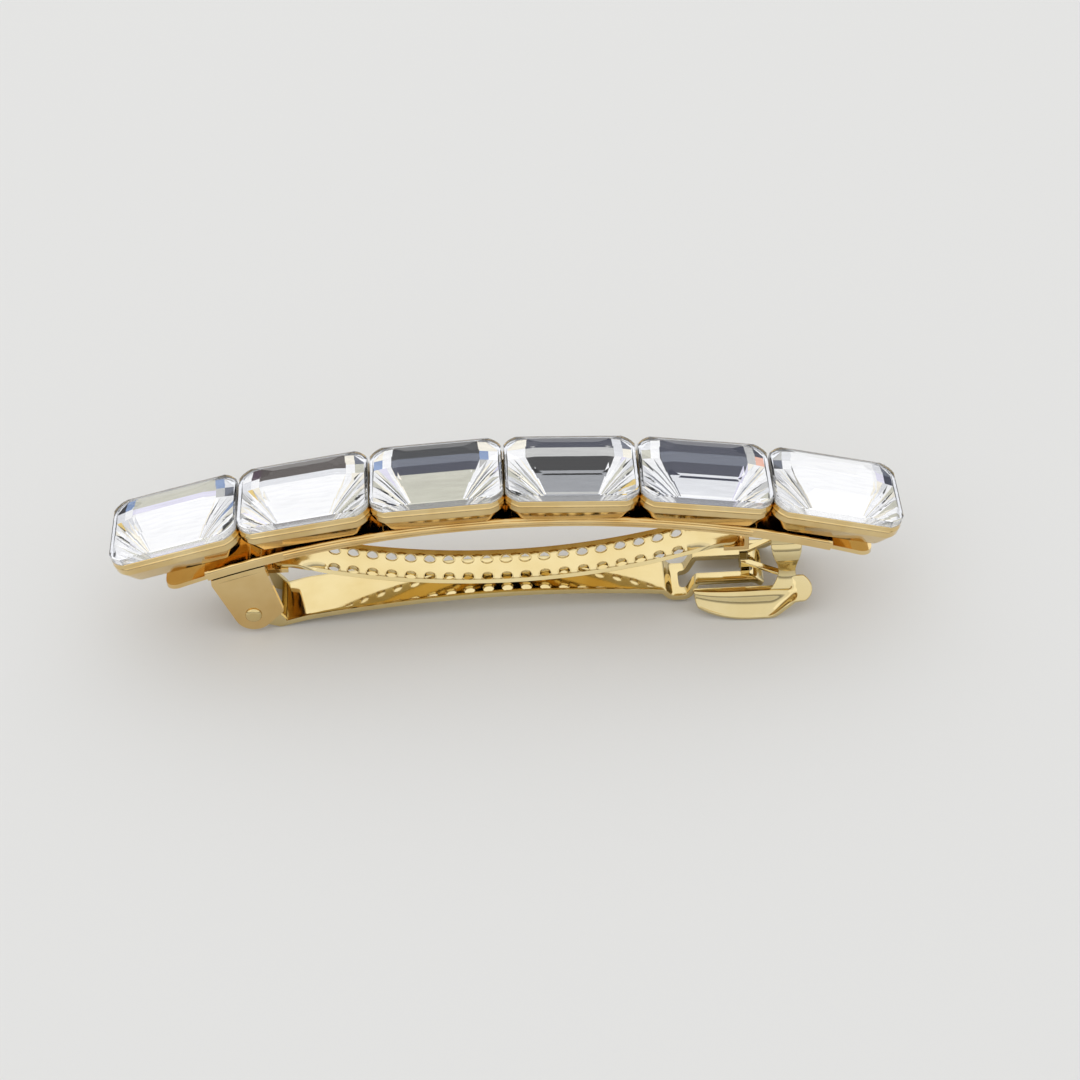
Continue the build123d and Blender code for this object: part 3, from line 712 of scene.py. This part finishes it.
def buildEar(node, name, mirrored):
    look = earLook
    tab = sheetFrom(faceOutward(earTab(look), look["tabProbe"]), name, springGold, look["sheet"], levels=2)
    leg = sheetFrom(faceOutward(earLeg(look), look["legProbe"]), name + "Leg", springGold, look["sheet"],
                    levels=2)
    bridge = slab(name + "Bridge", springGold, look["bridge"], *look["bridgeHeights"], look["bridgeRounding"])
    prong = slab(name + "Prong", springGold, look["prong"], *look["prongEnds"], look["prongRounding"], "x")
    joinInto(tab, [leg, bridge, prong])
    if mirrored:
        tab.data.transform(Matrix.Scale(-1, 4, (0, 1, 0)))
        tab.data.flip_normals()
    place(tab, node)


# clasp arm: one pressed strip, cranked at the heel, with a window between two raised rails
armLook = {
    "sheet": 0.6, "rounding": 0.1, "heelHalf": 3.32, "railHalf": 2.68, "widthEnds": (-27.6, 20.2),
    "window": 1.35, "windowEnds": (18.5, 26.5), "corner": 0.45, "cornerSteps": (0, 0.1, 0.4, 1),
    "railColumn": 0.5, "camber": 0.12, "camberEnds": (-21.9, -15, 10, 16.9),
    # the middle line: heel, arch from start over the crown to stop, then the step and the raised window
    "heel": (-24.9, 0.62), "start": (-21.9, 1.4), "crown": (-2.5, 3.166), "stop": (16.9, 2.1),
    "tail": [(17.7, 1.15), (19.2, 1.15), (20.2, 3.1), (26.6, 3.1), (27.6, 2.5)],
    "archSteps": 44, "heelBend": 0.6, "bend": 0.38,
    # a lug runs round the rivet and round the heel, between these angles
    "lugInside": 2.75, "lugHeel": (-24.9, 0.72), "lugRadii": (1.7, 0.7), "lugTurns": ((40, 265), (265, 400)),
    "lugSteps": 12, "lugLow": 0.02, "lugRounding": 0.09,
}


def arcThrough(a, b, c, count):
    # points of the arc from a through b to c
    (ax, az), (bx, bz), (cx, cz) = a, b, c
    d = 2 * (ax * (bz - cz) + bx * (cz - az) + cx * (az - bz))
    aa, bb, cc = ax ** 2 + az ** 2, bx ** 2 + bz ** 2, cx ** 2 + cz ** 2
    ux = (aa * (bz - cz) + bb * (cz - az) + cc * (az - bz)) / d
    uz = (aa * (cx - bx) + bb * (ax - cx) + cc * (bx - ax)) / d
    radius = math.dist((ux, uz), a)
    made = []
    for step in range(count + 1):
        x = ax + (cx - ax) * step / count
        made.append((x, uz + math.copysign(math.sqrt(radius ** 2 - (x - ux) ** 2), az - uz)))
    return made


def roundedLine(points, radius, steps=4):
    # a polyline with rounded inner corners, each taking less than half of the lines beside it
    most = 0.45
    made = [tuple(points[0])]
    for a, b, c in zip(points, points[1:], points[2:]):
        a, b, c = Vector(a), Vector(b), Vector(c)
        reach = min(radius, (a - b).length * most, (c - b).length * most)
        start, stop = b + (a - b).normalized() * reach, b + (c - b).normalized() * reach
        for step in range(steps + 1):
            t = step / steps
            made.append(tuple(start * (1 - t) ** 2 + b * 2 * t * (1 - t) + stop * t * t))
    made.append(tuple(points[-1]))
    return made


def armRows(look):
    # points across the strip, from the heel to the end, and which rows lie in the window
    trim = 3  # points at each end of the arch that give way to a bend
    spine = arcThrough(look["start"], look["crown"], look["stop"], look["archSteps"])
    path = roundedLine([look["heel"], look["start"], spine[trim]], look["heelBend"]) + spine[trim + 1:-trim]
    path += roundedLine([spine[-trim], look["stop"], *look["tail"]], look["bend"])
    w0, w1 = look["windowEnds"]
    radius = look["corner"]
    extra = [w0 + radius * share for share in look["cornerSteps"]]
    extra += [w1 - radius * share for share in look["cornerSteps"]]
    xs = sorted({round(p[0], 4) for p in path} | {round(x, 4) for x in extra})
    zs = np.interp(xs, [p[0] for p in path], [p[1] for p in path])
    rows = []
    for x, z in zip(xs, zs):
        half = float(np.interp(x, look["widthEnds"], (look["heelHalf"], look["railHalf"])))
        inset = 0.0
        for end in (w0, w1):
            gap = abs(x - end)
            if gap < radius:
                inset = radius - math.sqrt(max(0.0, radius ** 2 - (radius - gap) ** 2))
        window = look["window"] - inset
        camber = look["camber"] * float(np.interp(x, look["camberEnds"], (0, 1, 1, 0)))
        rail = half - look["railColumn"]
        ys = (-half, -rail, -window, window, rail, half)
        rows.append([(x, y, z - camber * (y / half) ** 2) for y in ys])
    slack = 1e-6
    return rows, [w0 - slack <= x <= w1 + slack for x in xs]


def armLug(look, side, name):
    shape = []
    spots = (middleOf("hinge_pin"), look["lugHeel"])
    for (cx, cz), radius, (a0, a1) in zip(spots, look["lugRadii"], look["lugTurns"]):
        for step in range(look["lugSteps"] + 1):
            turn = math.radians(a0 + (a1 - a0) * step / look["lugSteps"])
            shape.append((cx + radius * math.cos(turn), cz + radius * math.sin(turn)))
    shape = [(x, max(z, look["lugLow"])) for x, z in shape]
    inside, outside = sorted((side * look["lugInside"], side * look["heelHalf"]))
    return slab(f"{name}Lug{side}", springGold, shape, inside, outside, look["lugRounding"], "y")


def buildArm(node, name):
    look = armLook
    middleColumn = 2  # the quads between the rails
    rows, inWindow = armRows(look)
    bm = bmesh.new()
    gridFaces(bm, rows, lambda r, c: not (c == middleColumn and inWindow[r] and inWindow[r + 1]))
    arm = sheetFrom(faceOutward(bm, fromAbove), name, springGold, look["sheet"], look["rounding"])
    joinInto(arm, [armLug(look, side, name) for side in (-1, 1)])
    place(arm, node)


# tension bar: a pierced trough; its raised perforation rims repeat along the arc
barLook = {
    "sheet": 0.4, "radius": 73.6, "middle": -0.15, "centre": 77.716, "pitch": 2.08, "count": 19, "row": 1.46,
    "hole": 0.62, "ringGrow": 1.12, "bead": 0.075, "beadOut": 0.06, "beadSink": 0.3, "beadGap": 0.04,
    "half": 2.45, "floorHalf": 1.8, "cell": (0.72, 2.2), "cellSteps": 4, "lip": 0.45, "lipCurve": 1.6,
    "tipHalf": 1.28, "tipLeast": 0.03, "taper": (19.4, 23.6), "taperCurve": 1.5, "tongueTop": 7.07,
    "tips": (-25.5, 25.2), "tongueSteps": 14, "rounding": 0.06,
}


def barPoint(look, turn, y):
    # a point of the trough's upper face; its edges turn up
    share = (abs(y) - look["floorHalf"]) / (look["half"] - look["floorHalf"])
    rise = look["lip"] * min(1.0, max(0.0, share)) ** look["lipCurve"]
    radius = look["radius"] - rise
    return (look["middle"] + radius * math.sin(turn), y, look["centre"] - radius * math.cos(turn))


def piercedCell(look, turns, ys):
    # quads round one hole: the cell's border, a ring near the hole and the hole's edge
    (t0, t1), (y0, y1), steps = turns, ys, look["cellSteps"]
    middle = ((t0 + t1) / 2, (y0 + y1) / 2)
    cols = [t0 + (t1 - t0) * i / steps for i in range(steps + 1)]
    rows = [y0 + (y1 - y0) * i / steps for i in range(steps + 1)]
    border = [(c, y0) for c in cols[:-1]] + [(t1, y) for y in rows[:-1]]
    border += [(c, y1) for c in cols[:0:-1]] + [(t0, y) for y in rows[:0:-1]]
    loops = [border]
    for radius in (look["hole"] * look["ringGrow"], look["hole"]):
        loop = []
        for turn, y in border:
            angle = math.atan2((y - middle[1]), (turn - middle[0]) * look["radius"])
            loop.append((middle[0] + radius * math.cos(angle) / look["radius"],
                         middle[1] + radius * math.sin(angle)))
        loops.append(loop)
    quads = []
    for outer, inner in zip(loops, loops[1:]):
        for i in range(len(border)):
            j = (i + 1) % len(border)
            quads.append((outer[i], outer[j], inner[j], inner[i]))
    return quads


def tongueRows(look, bands, end, side):
    # the trough flattens and narrows to a rounded tip
    tip, steps = look["tips"][0 if side < 0 else 1], look["tongueSteps"]
    base = [barPoint(look, end, y) for y in bands]
    floor = base[len(bands) // 2]
    rows = [base]
    for i in range(1, steps + 1):
        share = i / steps
        x = floor[0] + (tip - floor[0]) * share
        near = side * (x - look["middle"])
        narrow = smoothStep(near, *look["taper"])
        half = look["half"] + (look["tipHalf"] - look["half"]) * narrow
        left = side * (tip - x)
        if left < look["tipHalf"]:
            half = math.sqrt(max(look["tipLeast"] ** 2, look["tipHalf"] ** 2 - (look["tipHalf"] - left) ** 2))
        turn = math.asin(min(1, abs(x - look["middle"]) / look["radius"]))
        z = min(look["centre"] - look["radius"] * math.cos(turn), look["tongueTop"])
        rise = (1 - narrow) ** look["taperCurve"]
        rows.append([(x, y * half / look["half"], z + (point[2] - floor[2]) * rise)
                     for y, point in zip(bands, base)])
    return rows


def barSkin(look):
    bm = bmesh.new()
    spots = {}

    def vert(point):
        key = tuple(round(v, 3) for v in point)
        if key not in spots:
            spots[key] = bm.verts.new(Vector(point) * mm)
        return spots[key]

    def quad(points):
        verts = []
        for point in points:
            if vert(point) not in verts:
                verts.append(vert(point))
        bm.faces.new(verts)

    step, steps = look["pitch"] / look["radius"], look["cellSteps"]
    inner, outer = look["cell"]
    bands = [-look["half"], -outer, -inner, 0.0, inner, outer, look["half"]]
    turns = [(cell - look["count"] / 2) * step for cell in range(look["count"] + 1)]
    for t0, t1 in zip(turns, turns[1:]):
        cols = [t0 + (t1 - t0) * i / steps for i in range(steps + 1)]
        for y0, y1 in zip(bands, bands[1:]):
            if sorted((abs(y0), abs(y1))) == [inner, outer]:
                patches = piercedCell(look, (t0, t1), (y0, y1))
            else:
                patches = [((c0, y0), (c1, y0), (c1, y1), (c0, y1)) for c0, c1 in zip(cols, cols[1:])]
            for patch in patches:
                quad([barPoint(look, *corner) for corner in patch])
    for side in (-1, 1):
        rows = tongueRows(look, bands, turns[-1] * side, side)
        for a, b in zip(rows, rows[1:]):
            for j in range(len(bands) - 1):
                quad([a[j], b[j], b[j + 1], a[j + 1]][::side])
    return faceOutward(bm, fromAbove)


def rimTree(finish, ringSteps=24, beadSteps=6):
    # a beaded ring on every hole of the two rows
    tree = bpy.data.node_groups.new("perforationRims", "GeometryNodeTree")
    face = tree.interface
    face.new_socket("Geometry", in_out="INPUT", socket_type="NodeSocketGeometry")
    for label in ("Radius", "Middle", "Centre", "Pitch", "Count", "Row", "Hole", "Bead"):
        kind = "NodeSocketInt" if label == "Count" else "NodeSocketFloat"
        face.new_socket(label, in_out="INPUT", socket_type=kind)
    face.new_socket("Geometry", in_out="OUTPUT", socket_type="NodeSocketGeometry")
    give, out = tree.nodes.new("NodeGroupInput").outputs, tree.nodes.new("NodeGroupOutput")
    index = addNode(tree, "GeometryNodeInputIndex").outputs[0]
    column = maths(tree, "MODULO", index, give["Count"])
    row = maths(tree, "FLOOR", maths(tree, "DIVIDE", index, give["Count"]))
    side = maths(tree, "SUBTRACT", maths(tree, "MULTIPLY", row, 2), 1)
    middle = maths(tree, "MULTIPLY", maths(tree, "SUBTRACT", give["Count"], 1), 0.5)
    along = maths(tree, "MULTIPLY", maths(tree, "SUBTRACT", column, middle), give["Pitch"])
    turn = maths(tree, "DIVIDE", along, give["Radius"])
    drop = maths(tree, "MULTIPLY", maths(tree, "COSINE", turn), give["Radius"])
    spot = addNode(tree, "ShaderNodeCombineXYZ", Y=maths(tree, "MULTIPLY", side, give["Row"]),
                   X=maths(tree, "MULTIPLY_ADD", maths(tree, "SINE", turn), give["Radius"], give["Middle"]),
                   Z=maths(tree, "SUBTRACT", give["Centre"], drop))
    points = addNode(tree, "GeometryNodePoints", Count=maths(tree, "MULTIPLY", give["Count"], 2),
                     Position=spot.outputs[0])
    tilt = addNode(tree, "ShaderNodeCombineXYZ", Y=maths(tree, "MULTIPLY", turn, -1))
    ring = addNode(tree, "GeometryNodeCurvePrimitiveCircle", Resolution=ringSteps, Radius=give["Hole"])
    bead = addNode(tree, "GeometryNodeCurvePrimitiveCircle", Resolution=beadSteps, Radius=give["Bead"])
    sweep = addNode(tree, "GeometryNodeCurveToMesh", Curve=ring.outputs["Curve"])
    fill(sweep, {"Profile Curve": bead.outputs["Curve"]})
    copies = addNode(tree, "GeometryNodeInstanceOnPoints", Points=points.outputs[0],
                     Instance=sweep.outputs["Mesh"], Rotation=tilt.outputs[0])
    real = addNode(tree, "GeometryNodeRealizeInstances", Geometry=copies.outputs[0])
    paint = addNode(tree, "GeometryNodeSetMaterial", Geometry=real.outputs[0], Material=finish)
    fill(out, {"Geometry": paint.outputs[0]})
    return tree


def grownBy(tree, name, values):
    # runs a tree on an empty mesh and keeps what it makes
    obj = link(bpy.data.objects.new(name, bpy.data.meshes.new(name)))
    modifier = obj.modifiers.new(tree.name, "NODES")
    modifier.node_group = tree
    for item in tree.interface.items_tree:
        if item.item_type == "SOCKET" and item.in_out == "INPUT" and item.name in values:
            modifier[item.identifier] = values[item.name]
    bakeModifiers(obj)
    return obj


def buildBar(node, name):
    look = barLook
    bar = sheetFrom(barSkin(look), name, springGold, look["sheet"], look["rounding"])
    rims = grownBy(rimTree(springGold), name + "Rims", {
        "Radius": (look["radius"] - look["beadOut"] * look["beadSink"]) * mm, "Middle": look["middle"] * mm,
        "Centre": look["centre"] * mm, "Pitch": look["pitch"] * mm, "Count": look["count"],
        "Row": look["row"] * mm, "Hole": (look["hole"] + look["beadGap"]) * mm, "Bead": look["bead"] * mm})
    joinInto(bar, [rims])
    place(bar, node)


# rivet: shank with two hammered heads
rivetLook = {
    "shank": 0.6, "head": 0.93, "rise": 0.4, "ears": 4.1, "sides": 20, "seed": 5,
    # the head's dome as (radius, share of the rise), then the height of its rim and the radius under it
    "dome": [(0.0, 0.8), (0.25, 0.86), (0.52, 1.0), (0.72, 0.85), (0.87, 0.5)],
    "rim": 0.08, "underside": 0.97,
    # hammer dents: how large, their shares outwards and along, and how far above the ears they start
    "dent": 0.03, "dentOut": 0.6, "dentAlong": 0.5, "dentStart": 0.1,
}


def buildRivet(node, name):
    look = rivetLook
    x, z = middleOf(node)
    random = np.random.default_rng(look["seed"])
    flat, sides = look["ears"], look["sides"]
    profile = [(r, flat + look["rise"] * share) for r, share in look["dome"]]
    profile += [(look["head"], flat + look["rim"]), (look["head"] * look["underside"], flat),
                (look["shank"], flat)]
    profile += [(r, -y) for r, y in profile[::-1]]
    bm = bmesh.new()
    rings = []
    for r, y in profile:
        if r == 0.0:
            rings.append([bm.verts.new(Vector((x, y, z)) * mm)])
            continue
        dent = look["dent"] if abs(y) > flat + look["dentStart"] else 0.0
        out, along = dent * look["dentOut"], dent * look["dentAlong"]
        ring = []
        for i in range(sides):
            angle = math.tau * i / sides
            spot = (x + (r + random.normal() * out) * math.cos(angle), y + random.normal() * along,
                    z + (r + random.normal() * out) * math.sin(angle))
            ring.append(bm.verts.new(Vector(spot) * mm))
        rings.append(ring)
    for a, b in zip(rings, rings[1:]):
        if len(a) == len(b):
            bandBetween(bm, a, b)
            continue
        for i in range(sides):
            j = (i + 1) % sides
            bm.faces.new((a[0], b[i], b[j]) if len(a) == 1 else (a[j], a[i], b[0]))
    bmesh.ops.recalc_face_normals(bm, faces=bm.faces)
    rivet = meshFrom(bm, name, [springGold])
    rounded = rivet.modifiers.new("rounded", "SUBSURF")
    rounded.levels = rounded.render_levels = 1
    bakeModifiers(rivet)
    rivet.data.shade_smooth()
    place(rivet, node)


# channel, bracket and web keep the frame's shapes; the clamp leaves the first two nearly sharp
plateLook = {
    "base_plate": {"name": "basePlate", "rounding": 0.07},
    "hinge_bracket": {"name": "hingeBracket", "rounding": 0.1},
    "catch_web": {"name": "catchWeb", "rounding": 0.08},
}
for node, look in plateLook.items():
    piece = cleanCopy(node, look["name"], plateGold)
    softEdges(piece, look["rounding"])
    place(piece, node)
for index in range(len(stoneReflectionBands)):
    buildSetting(index, settingLook)
print("plate and settings finished")
buildBar("tension_bar", "tensionBar")
buildArm("clasp_arm", "claspArm")
buildRivet("hinge_pin", "hingePin")
buildEar("catch_ear_front", "catchEarFront", False)
buildEar("catch_ear_back", "catchEarBack", True)
print("bar, arm, rivet and catch finished")

# studio
studio = {
    "floor": (0.76, 0.76, 0.75, 1), "floorRoughness": 0.9, "floorHalf": 3, "worldGlow": 0.99,
    # the sky's brightness as (how far up, glow)
    "dome": [(0.0, 0.26), (0.1, 0.4), (0.32, 1.0), (0.75, 1.0), (1.0, 1.0)],
    "keyPlace": (0.03, 0.5, 0.46), "keySize": (1.1, 0.42), "keyGlow": 0.22,
    "fillPlace": (-0.45, -0.35, 0.5), "fillSize": (0.4, 0.4), "fillGlow": 0.25, "lightAim": (0, 0, 0.01),
}


def buildWorld(values):
    world = bpy.data.worlds.new("studioWorld")
    scene.world = world
    world.use_nodes = True
    tree = world.node_tree
    where = addNode(tree, "ShaderNodeTexCoord")
    split = addNode(tree, "ShaderNodeSeparateXYZ", Vector=where.outputs["Generated"])
    dome = addNode(tree, "ShaderNodeValToRGB", Fac=split.outputs["Z"])
    dome.color_ramp.interpolation = "EASE"
    stops = dome.color_ramp.elements
    while len(stops) < len(values["dome"]):
        stops.new(0.5)
    for stop, (height, glow) in zip(stops, values["dome"]):
        stop.position = height
        stop.color = (glow, glow, glow, 1)
    fill(tree.nodes["Background"], {"Strength": values["worldGlow"], "Color": dome.outputs["Color"]})


def softBox(name, spot, size, glow):
    light = bpy.data.lights.new(name, "AREA")
    light.shape = "RECTANGLE"
    light.size, light.size_y = size
    light.energy = glow * math.pi * size[0] * size[1]
    obj = link(bpy.data.objects.new(name, light))
    obj.location = spot
    obj.rotation_euler = (Vector(studio["lightAim"]) - Vector(spot)).to_track_quat("-Z", "Y").to_euler()


def buildStudio(values):
    bm = bmesh.new()
    bmesh.ops.create_grid(bm, x_segments=1, y_segments=1, size=values["floorHalf"])
    floorMaterial, _, shader = newMaterial("studioFloor")
    fill(shader, {"Base Color": values["floor"], "Roughness": values["floorRoughness"]})
    meshFrom(bm, "studioFloor", [floorMaterial])
    buildWorld(values)
    softBox("keyBox", values["keyPlace"], values["keySize"], values["keyGlow"])
    softBox("fillBox", values["fillPlace"], values["fillSize"], values["fillGlow"])


buildStudio(studio)
print("studio lit")

# camera
lens = {
    "elevation": 38.83, "turn": 0.11, "roll": 2.75, "distance": 287.4, "aimHeight": 16.6,
    "focal": 90.65, "sensor": 36, "shiftX": 0.0337, "shiftY": -0.0579, "nearClip": 0.01,
}


def buildCamera(values):
    camera = bpy.data.cameras.new("camera")
    camera.lens = values["focal"]
    camera.sensor_width = values["sensor"]
    camera.shift_x, camera.shift_y = values["shiftX"], values["shiftY"]
    camera.clip_start = values["nearClip"]
    obj = link(bpy.data.objects.new("camera", camera))
    up = math.radians(values["elevation"])
    turn = math.radians(values["turn"])
    away = Vector((math.sin(turn) * -math.cos(up), -math.cos(turn) * math.cos(up), math.sin(up)))
    aim = Vector((0, 0, values["aimHeight"] * mm))
    spin = (-away).to_track_quat("-Z", "Y").to_matrix().to_4x4()
    obj.matrix_world = (Matrix.Translation(aim + away * values["distance"] * mm) @ spin
                        @ Matrix.Rotation(-math.radians(values["roll"]), 4, "Z"))
    scene.camera = obj


buildCamera(lens)
scene.view_settings.view_transform = "Standard"
print("scene ready")
